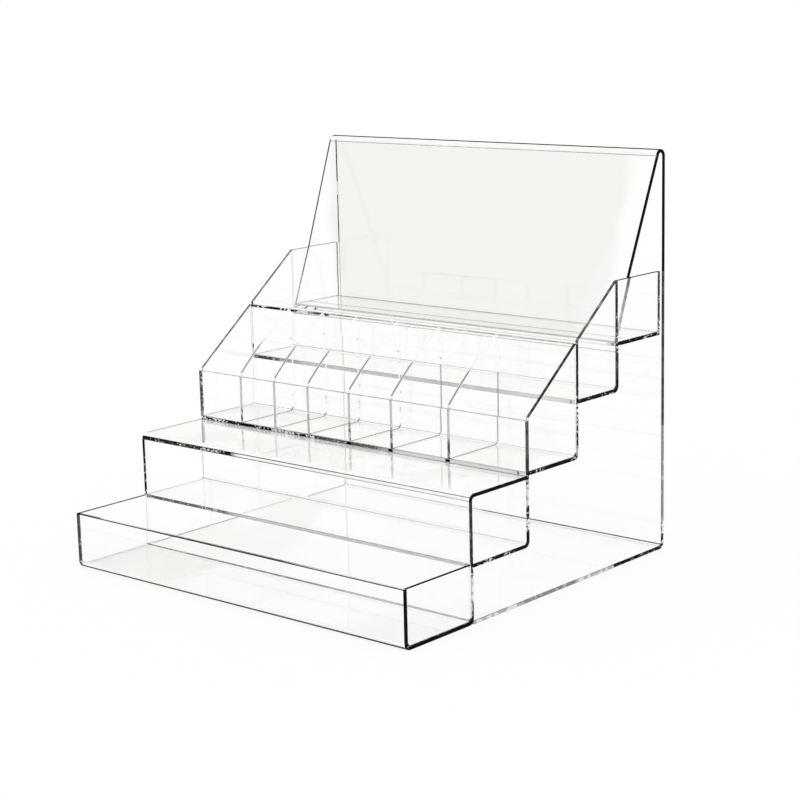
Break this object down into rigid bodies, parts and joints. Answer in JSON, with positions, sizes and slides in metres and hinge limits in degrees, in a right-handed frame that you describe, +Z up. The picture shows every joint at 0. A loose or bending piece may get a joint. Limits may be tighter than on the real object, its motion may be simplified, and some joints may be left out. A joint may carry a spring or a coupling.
{
  "type": "cosmetic display stand",
  "caption": "Clear stepped countertop display stand with a front tray, an open box, a divided tray, an upper tray and a top shelf under a slanted header on a full back panel.",
  "frame": {"origin": "on the surface that the stand rests on, in the middle of its width and depth", "axes": "+X along the width to the viewer's right when the stand is seen from the front, +Y from the front tray to the back panel, +Z up"},
  "size_m": [0.4, 0.3726, 0.3735],
  "materials": {
    "clear_sheet": "clear, polished, heat bent",
    "clear_plate": "clear, polished, flat cut"
  },
  "bodies": {
    "root": {"back_frame": "clear_sheet", "tray_and_riser": "clear_sheet", "box_floor_and_back": "clear_sheet", "compartment_floor_and_back": "clear_sheet", "upper_tray_floor_and_back": "clear_sheet", "top_shelf": "clear_sheet", "compartment_front_strip": "clear_sheet", "upper_front_strip": "clear_sheet", "tray_cheek_left": "clear_plate", "tray_cheek_right": "clear_plate", "compartment_cheek_left": "clear_plate", "compartment_cheek_right": "clear_plate", "upper_cheek_left": "clear_plate", "upper_cheek_right": "clear_plate", "shelf_cheek_left": "clear_plate", "shelf_cheek_right": "clear_plate", "divider_1": "clear_plate", "divider_2": "clear_plate", "divider_3": "clear_plate", "divider_4": "clear_plate", "divider_5": "clear_plate", "divider_6": "clear_plate"}
  },
  "joints": []
}
